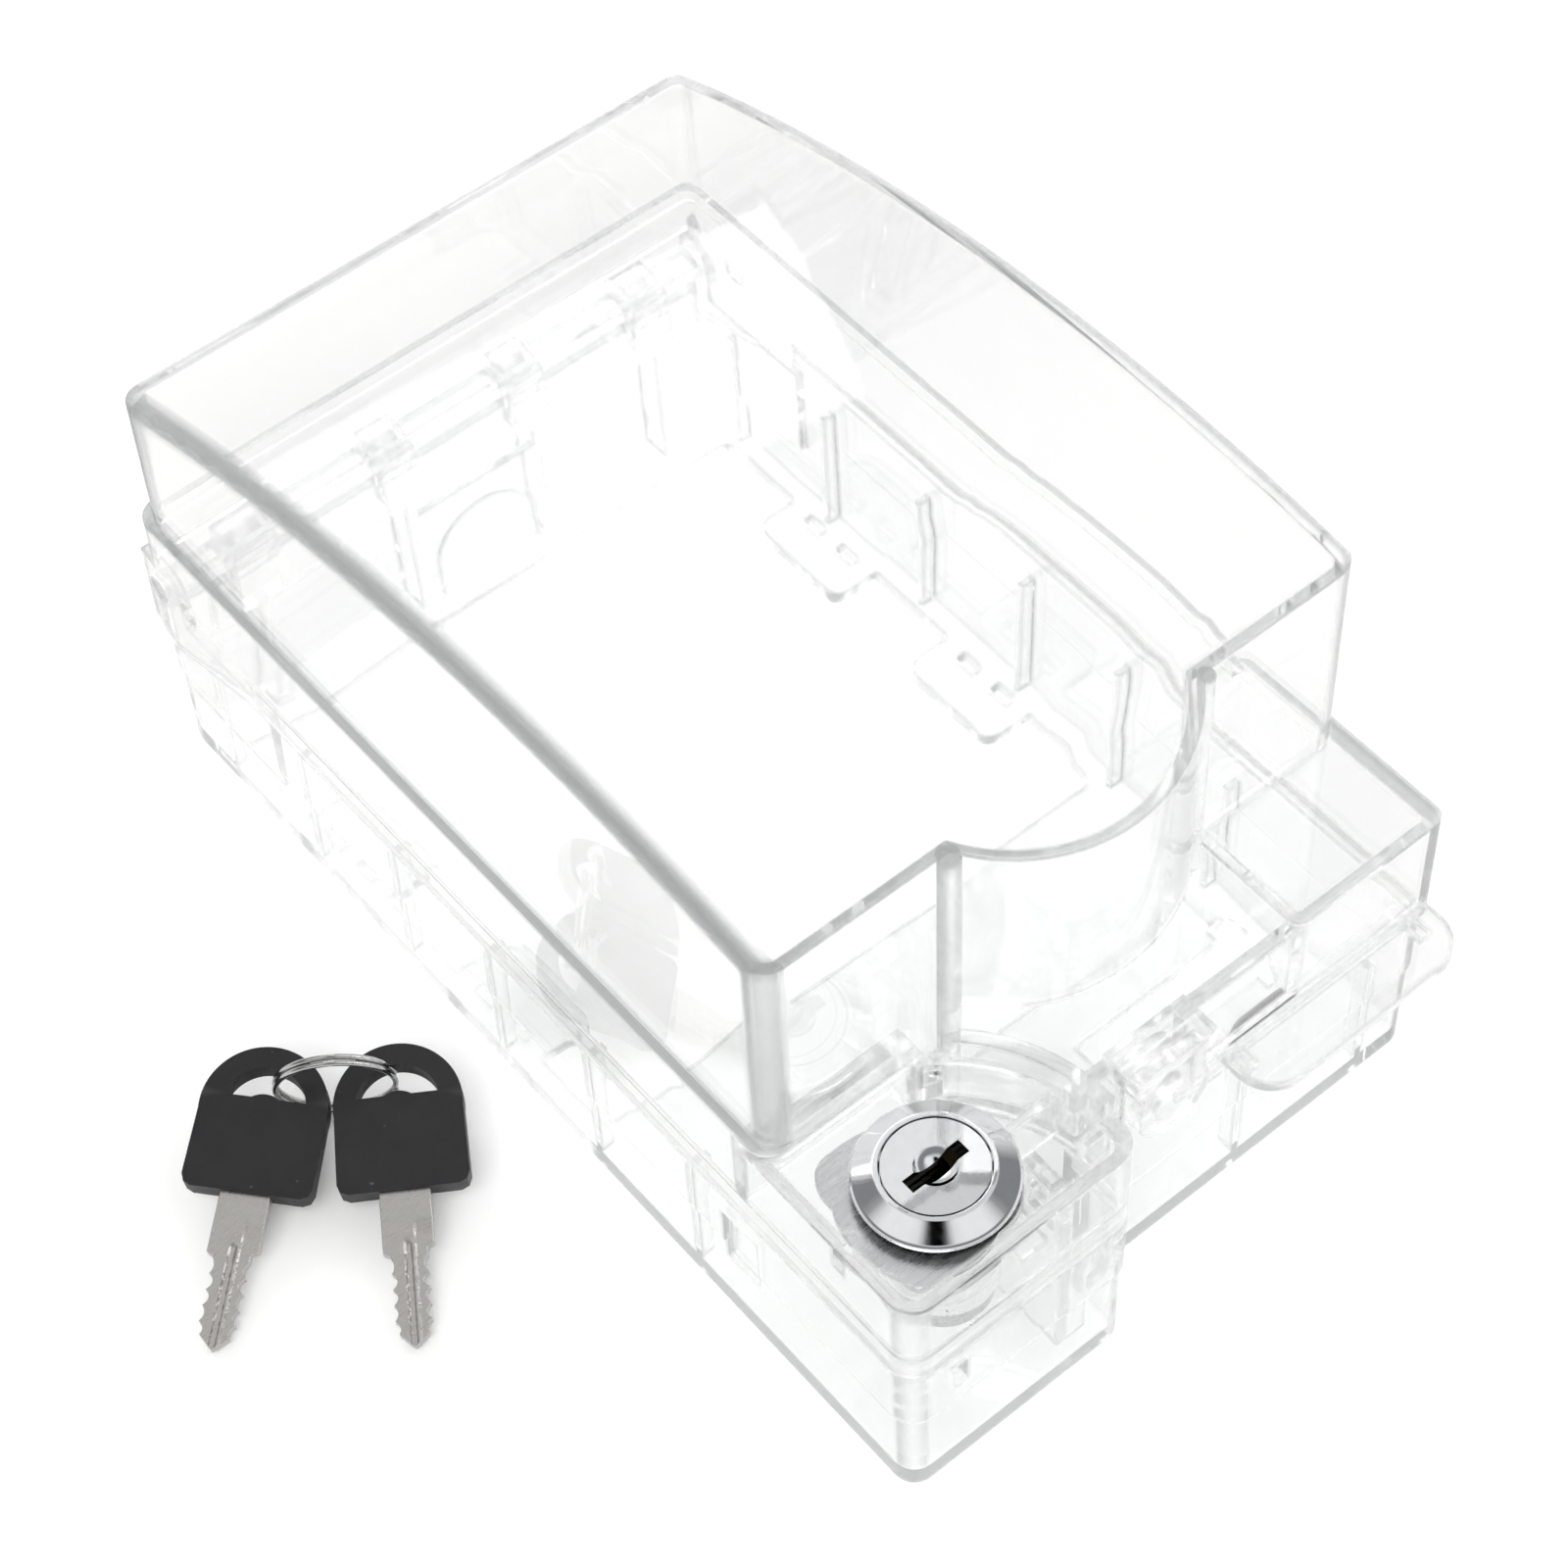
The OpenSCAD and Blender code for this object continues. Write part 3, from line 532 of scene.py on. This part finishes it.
def softProfile(corners, radius, steps=4):
    # each corner of a closed outline becomes a curve: (1-t)^2 a + 2t(1-t) corner + t^2 b
    corners = np.array(corners, float)
    back, ahead = np.roll(corners, 1, 0) - corners, np.roll(corners, -1, 0) - corners
    lengths = [np.linalg.norm(d, axis=1)[:, None] for d in (back, ahead)]
    reach = [np.minimum(radius, softCorner["reach"] * n) for n in lengths]
    a = corners + back / lengths[0] * reach[0]
    b = corners + ahead / lengths[1] * reach[1]
    t = np.linspace(0, 1, steps)[None, :, None]
    curve = (1 - t) ** 2 * a[:, None] + 2 * t * (1 - t) * corners[:, None] + t**2 * b[:, None]
    # a narrow strip beside each curve keeps the flat between two corners flat in its shading
    short = [np.minimum(1, softCorner["narrowing"] * n / radius) for n in lengths]
    before = a + (a - corners) * softCorner["strip"] * short[0]
    after = b + (b - corners) * softCorner["strip"] * short[1]
    return np.concatenate([before[:, None], curve, after[:, None]], axis=1).reshape(-1, 2)


mergedCopy("lid_shell", "lid_moulding", "lid", clearWall)
mergedCopy("base_shell", "base_moulding", "base", clearWall)
mergedCopy("cam_catch", "cam_catch_moulding", "base", clearWall)
mergedCopy("hinge_rod", "hinge_rod_clear", "base", clearWall, corner=0.5)

pillars = {
    "places": [(-20.5, -57.0, 1.8), (22.0, -57.2, 1.3)],  # x, y and radius, in the corners beside the bulge
    "low": 46.6,
    "high": 88.75,
    "top": 0.5,  # height of the rounded top, in radii
    "rows": 12,
    "topRows": 6,
    "sides": 40,
    "sharpAngle": 50,
}


def pillar(x, y, radius, p):
    # an upright rod: r = radius up to its top, then r(t) = radius * sqrt(1 - t^2) while z nears high
    t = np.linspace(0, 1, p["topRows"] + 2)[1:-1]
    shaft = np.linspace(p["low"], p["high"] - radius * p["top"], p["rows"])
    z = np.concatenate([shaft, p["high"] - radius * p["top"] * (1 - t)])
    r = np.concatenate([np.full(p["rows"], radius), radius * np.sqrt(1 - t**2)])
    turn = np.linspace(0, 2 * np.pi, p["sides"], endpoint=False)
    x, y = x + r[:, None] * np.cos(turn), y + r[:, None] * np.sin(turn)
    return np.stack([x, y, np.broadcast_to(z[:, None], x.shape)], -1) * mm


for number, place in enumerate(pillars["places"], 1):
    finishGrid("bulge_pillar_%d" % number, pillar(*place, pillars), pillars["sharpAngle"], "lid",
        [], clearWall)
print("stage: lid and base")

lock = {
    "axis": (-35.0, -71.5),
    "barrel": 7.5,
    "bore": 5.65,
    "low": 27.0,
    "seat": 47.5,
    # radius and height over the seat, from the bore round the bezel to the barrel; the floor of the recess
    # lies a hair under the flange of the plug
    "bezel": [(5.65, -0.03), (7.28, -0.03), (7.28, 2.6), (7.95, 2.6), (10.7, 1.0), (11.0, 0.7), (11.0, 0),
        (7.5, 0)],
    "bezelRound": 0.14,
    "foot": (0.3, 0.15),  # chamfers of the barrel and of the bore
    "threadDepth": 0.32,
    "threadPitch": 1.25,
    "threadRows": 6,  # per turn
    "threadEnds": (0.6, 0.3),  # mm below the seat and above the foot
    "notch": (-12.5, 102.5, 28.6),  # from, to in degrees, and its top
    "notchSide": 0.8,  # degrees over which the side of the notch rises
    "columns": 96,
    "sharpAngle": 38,
}


def lockHousing(p):
    # r(v, a) follows the turned profile, less depth * |saw(z / pitch - a / 360)| on the threaded barrel;
    # z(v, a) is lifted to the notch's top where a lies in the notch
    face = softProfile([(r, p["seat"] + z) for r, z in p["bezel"]], p["bezelRound"])
    top, end = p["seat"] - p["threadEnds"][0], p["low"] + p["threadEnds"][1]
    z = np.arange(top, end, -p["threadPitch"] / p["threadRows"])
    barrel = np.stack([np.full_like(z, p["barrel"]), z], 1)
    outer, inner = p["foot"]
    foot = [(p["barrel"] - outer, p["low"]), (p["bore"] + inner, p["low"]), (p["bore"], p["low"] + inner)]
    outline = np.concatenate([face, barrel, np.array(foot)])
    start, stop, notchTop = p["notch"]
    edge = [start - p["notchSide"], start, stop, stop + p["notchSide"]]
    angle = np.unique(np.concatenate([np.linspace(-180, 180, p["columns"], endpoint=False), edge]))
    inNotch = np.interp(angle, edge, [0, 1, 1, 0])
    r = outline[:, 0][:, None] * np.ones(len(angle))
    height = outline[:, 1][:, None] * np.ones(len(angle))
    saw = np.abs(((height / p["threadPitch"] - angle / 360) % 1) * 2 - 1)
    threaded = np.zeros(len(outline))
    threaded[len(face) + 1 : len(face) + len(barrel) - 1] = 1
    r = r - p["threadDepth"] * saw * threaded[:, None]
    height = np.maximum(height, p["low"] + (notchTop - p["low"]) * inNotch[None, :])
    a = np.radians(angle)
    x, y = p["axis"][0] + r * np.cos(a), p["axis"][1] + r * np.sin(a)
    return np.stack([x, y, height], -1) * mm


finishGrid("lock_housing_turned", lockHousing(lock), lock["sharpAngle"], "lid",
    ["lock_housing"], chrome, closeAlong=True)
mergedCopy("lock_plug", "lock_plug_turned", "lock_core", chrome, corner=0.12)

plate = {
    "low": 43.24,  # the steel hangs in a film of air under the roof of the chamber
    "high": 44.74,
    "hole": 7.56,
    # corners from the axis of the lock, seen from above
    "corners": [(-12, -10.6), (4.6, -10.6), (8.8, -7.4), (10.6, 0), (8.6, 7), (3.5, 10.8), (-4, 12.4),
        (-9.6, 12.4), (-12, 9.4)],
    "cornerRound": (2.6, 6),  # mm and steps
    "edge": 0.2,  # chamfer
    "strip": 0.1,  # flat strip inside the upper chamfer
    "columns": 160,
    "sharpAngle": 30,
}


def stampedPlate(p):
    # ring by ring (r(a), z) from the hole along the underside, round the edge and back to the hole on top,
    # with r(a) the distance to the outline in the direction a
    outline = softProfile(p["corners"], p["cornerRound"][0], steps=p["cornerRound"][1])
    at = np.unwrap(np.arctan2(outline[:, 1], outline[:, 0]))
    angle = np.linspace(-np.pi, np.pi, p["columns"], endpoint=False)
    outer = np.interp(angle, at, np.hypot(*outline.T), period=2 * np.pi)
    hole = np.full_like(angle, p["hole"])
    inset = outer - p["edge"]
    low, high = p["low"], p["high"]
    rings = [(hole, low), (inset, low), (outer, low + p["edge"]), (outer, high - p["edge"]), (inset, high),
        (inset - p["strip"], high), (hole, high)]
    x, y = lock["axis"]
    around = [(x + r * np.cos(angle), y + r * np.sin(angle), np.full_like(angle, z)) for r, z in rings]
    return np.stack([np.stack(ring, 1) for ring in around]) * mm


finishGrid("lock_plate_stamped", stampedPlate(plate), plate["sharpAngle"], "lid",
    ["lock_plate"], stampedSteel, closeAlong=True)
mergedCopy("lock_washer", "lock_washer_stamped", "lid", zincPlate, corner=0.12)
mergedCopy("lock_nut", "lock_nut_turned", "lid", zincPlate, corner=0.3)
mergedCopy("stop_disc", "stop_disc_stamped", "lock_core", zincPlate, corner=0.15)
mergedCopy("lock_cam", "lock_cam_stamped", "lock_core", zincPlate, corner=0.25)
mergedCopy("cam_washer", "cam_washer_stamped", "lock_core", zincPlate, corner=0.12)
mergedCopy("cam_screw", "cam_screw_driven", "lock_core", blackScrew, corner=0.2)

springs = {
    "count": 6,
    "first": 33.0,  # mm above the wall
    "pitch": 2.0,  # from one spring to the next
    "start": (-2.15, 4.42, 0.5),  # from the axis of the lock and from the spring's own height
    "length": 3.1,
    "turns": 5,
    "steps": 10,  # per turn
    "radius": 0.31,
    "wire": 0.09,
    "sides": 6,
}


def springCoils(p):
    # (x0 + length * s, y0 + r cos(2 pi n s), z0 + r sin(2 pi n s)), each second coil turned to the other side
    s = np.linspace(0, 1, p["turns"] * p["steps"] + 1)
    turn = 2 * np.pi * p["turns"] * s
    x, y, z = p["start"]
    coil = np.stack([x + p["length"] * s, y + p["radius"] * np.cos(turn), z + p["radius"] * np.sin(turn)], 1)
    return [
        coil * ((-1, -1, 1) if i % 2 else (1, 1, 1)) + np.array([*lock["axis"], p["first"] + i * p["pitch"]])
        for i in range(p["count"])
    ]


def springMesh(p):
    points, faces = [], []
    for path in springCoils(p):
        coil = gridMesh("coil", tube(path * mm, p["wire"] * mm, p["sides"]))
        start = len(points)
        points += [tuple(v.co) for v in coil.vertices]
        faces += [[start + n for n in f.vertices] for f in coil.polygons]
        bpy.data.meshes.remove(coil)
    mesh = bpy.data.meshes.new("wafer_springs_coiled")
    mesh.from_pydata(points, [], faces)
    mesh.shade_smooth()
    return mesh


finishPiece("wafer_springs_coiled", springMesh(springs), "lock_core", ["wafer_springs"],
    springWire)
print("stage: lock")

keyPair = {
    "at": (-74.6, 11.2, 8.9),  # between the holes of the two heads
    "turn": -38.9,
    "gap": 9.0,  # mm from there to each key
    "tilt": 12,
    "fan": (-9.6, 5.3),
    "headRound": (0.8, 4),  # mm and segments
}

# y runs up along the key from its tip, x across it and z through it
shank = {
    "tip": -37.3,
    "shoulder": -23.9,
    "end": -6.6,
    "shankHalf": 3.55,
    "bladeHalf": 2.55,
    "thickness": 2.0,
    "edge": 0.16,  # radius
    "rows": (120, 14),  # along the toothed part and along the rest
    "rowsMeet": (1.6, 1.8),  # mm above the shoulder, where the first rows end and the others start
    "columns": 41,
    "sides": ((0, 0.0), (3, 1.0)),  # where each side's run of bites starts, and mm its shoulder is higher
    "pitch": 2.25,
    "teeth": 5,
    "firstTooth": 0.7,  # mm below the shoulder
    "bites": (0.4, 0.35, 1.17),  # mm, the least and what is added to it, and the step of that
    "biteShape": 0.8,
    "shoulderRun": (-0.5, 0.1),  # mm from the shoulder, where the blade starts to widen and where it is wide
    "nose": (0.02, 0.12, 1.05),  # mm to the first row, half width at the tip, and what it gains per mm
    "groove": (-0.5, 0.4, 0.3),  # from, to and depth of the groove in the middle
    "grooveEnd": (1.0, 1.8),  # mm above the shoulder
    "step": (0.95, 4.0, 0.26),  # the milled step beside it, on one side of each face
    "stepEnd": (3.4, 4.0),
    "milledSide": 0.1,  # mm to each side over which a groove falls away
    "sharpAngle": 40,
}


def smooth(x, low, high):
    # 3 t^2 - 2 t^3 between low and high
    t = np.clip((x - low) / (high - low), 0, 1)
    return t * t * (3 - 2 * t)


def milled(x, y, cut, end, p):
    # depth * (1 - smooth(y)) * (smooth(x, low) - smooth(x, high)): a groove that runs out above the shoulder
    low, high, depth = cut
    n = p["milledSide"]
    runs = 1 - smooth(y, p["shoulder"] + end[0], p["shoulder"] + end[1])
    return depth * runs[:, None] * smooth(x, low - n, low + n) * (1 - smooth(x, high - n, high + n))


def keySide(y, seed, offset, p):
    # half width h(y) = blade - bite * |sin(pi (y - first) / pitch)|^0.8, wider above the shoulder,
    # narrowing to the tip
    n = (p["shoulder"] - p["firstTooth"] - y) / p["pitch"]
    least, added, step = p["bites"]
    bite = least + added * np.abs(np.sin((np.floor(n) + seed) * step))
    cut = (n > 0) & (n < p["teeth"])
    wave = np.where(cut, bite * np.abs(np.sin(np.pi * n)) ** p["biteShape"], 0)
    start, stop = (p["shoulder"] + run + offset for run in p["shoulderRun"])
    half = p["bladeHalf"] - wave + (p["shankHalf"] - p["bladeHalf"]) * smooth(y, start, stop)
    _, least, gain = p["nose"]
    return np.minimum(half, least + (y - p["tip"]) * gain)


def keyShank(p):
    # z(x, y) = half thickness less the grooves, with edges rounded off as 1 - sqrt(1 - t^2)
    toothed = np.linspace(p["tip"] + p["nose"][0], p["shoulder"] + p["rowsMeet"][0], p["rows"][0])
    plain = np.linspace(p["shoulder"] + p["rowsMeet"][1], p["end"], p["rows"][1])
    y = np.concatenate([toothed, plain])
    left, right = (keySide(y, seed, offset, p)[:, None] for seed, offset in p["sides"])
    across = np.sin(np.linspace(-np.pi / 2, np.pi / 2, p["columns"]))[None]
    x = np.where(across < 0, across * left, across * right)
    reach = np.where(x < 0, left + x, right - x)
    rounded = p["edge"] * (1 - np.sqrt(1 - (1 - np.clip(reach / p["edge"], 0, 1)) ** 2))
    upper, lower = (
        p["thickness"] / 2 - milled(x, y, p["groove"], p["grooveEnd"], p)
        - milled(x * flip, y, p["step"], p["stepEnd"], p) - rounded
        for flip in (1, -1)
    )
    ringX = np.concatenate([x, x[:, ::-1]], 1)
    ringZ = np.concatenate([upper, -lower[:, ::-1]], 1)
    return np.stack([ringX, np.broadcast_to(y[:, None], ringX.shape), ringZ], -1)


def turned(points, *turns):
    # the turns, each in degrees about an axis, are made one after the other from the last to the first
    matrix = Matrix.Identity(3)
    for angle, axis in turns:
        matrix = matrix @ Matrix.Rotation(math.radians(angle), 3, axis)
    return points @ np.array(matrix).T


def placeKey(points, number, p):
    side = -1 if number == 1 else 1
    points = turned(points, (p["tilt"], "X"), (p["fan"][number - 1], "Z")) + np.array((side * p["gap"], 0, 0))
    return (turned(points, (p["turn"], "Z")) + np.array(p["at"])) * mm


for number in (1, 2):
    body = "key_%d" % number
    corner, segments = keyPair["headRound"]
    mergedCopy("key_head_%d" % number, "key_grip_%d" % number, body, blackAbs, corner,
        segments)
    finishGrid("key_shank_%d" % number, placeKey(keyShank(shank), number, keyPair), shank["sharpAngle"], body,
        ["key_blade_%d" % number], nickelSilver)

ring = {
    "slide": (0.2, 1.2, 0),  # mm, across and along the keys
    "yaw": 3.2,
    "tilt": -79.4,
    "radius": 8.35,
    "wire": 0.42,
    "pitch": 0.95,
    "turns": 2,
    "steps": 193,
    "sides": 14,
    "ends": (0.55, 6),  # share of the wire left at its ground ends, and what that gains per radian
    "sharpAngle": 50,
}


def ringWire(p):
    # turns of a flat helix: (R cos a, R sin a, pitch * (a / 360 - 1)), tilted, then turned
    whole = 2 * np.pi * p["turns"]
    a = np.linspace(0, whole, p["steps"])
    path = np.stack([p["radius"] * np.cos(a), p["radius"] * np.sin(a), (a / (2 * np.pi) - 1) * p["pitch"]], 1)
    least, gain = p["ends"]
    wire = p["wire"] * np.minimum(1, least + gain * np.minimum(a, whole - a))
    points = turned(tube(path, wire, p["sides"]), (p["yaw"], "Z"), (p["tilt"], "X")) + np.array(p["slide"])
    return (turned(points, (keyPair["turn"], "Z")) + np.array(keyPair["at"])) * mm


finishGrid("split_ring_wound", ringWire(ring), ring["sharpAngle"], "key_ring", ["split_ring"],
    ringSteel)
print("stage: keys and ring")

# two CAD nodes keep their shape and get only a material
for node, material in (("lock_seal", sealRubber), ("plug_wafers", brass)):
    nodes[node].data.materials.clear()
    nodes[node].data.materials.append(material)

print("stage: done")
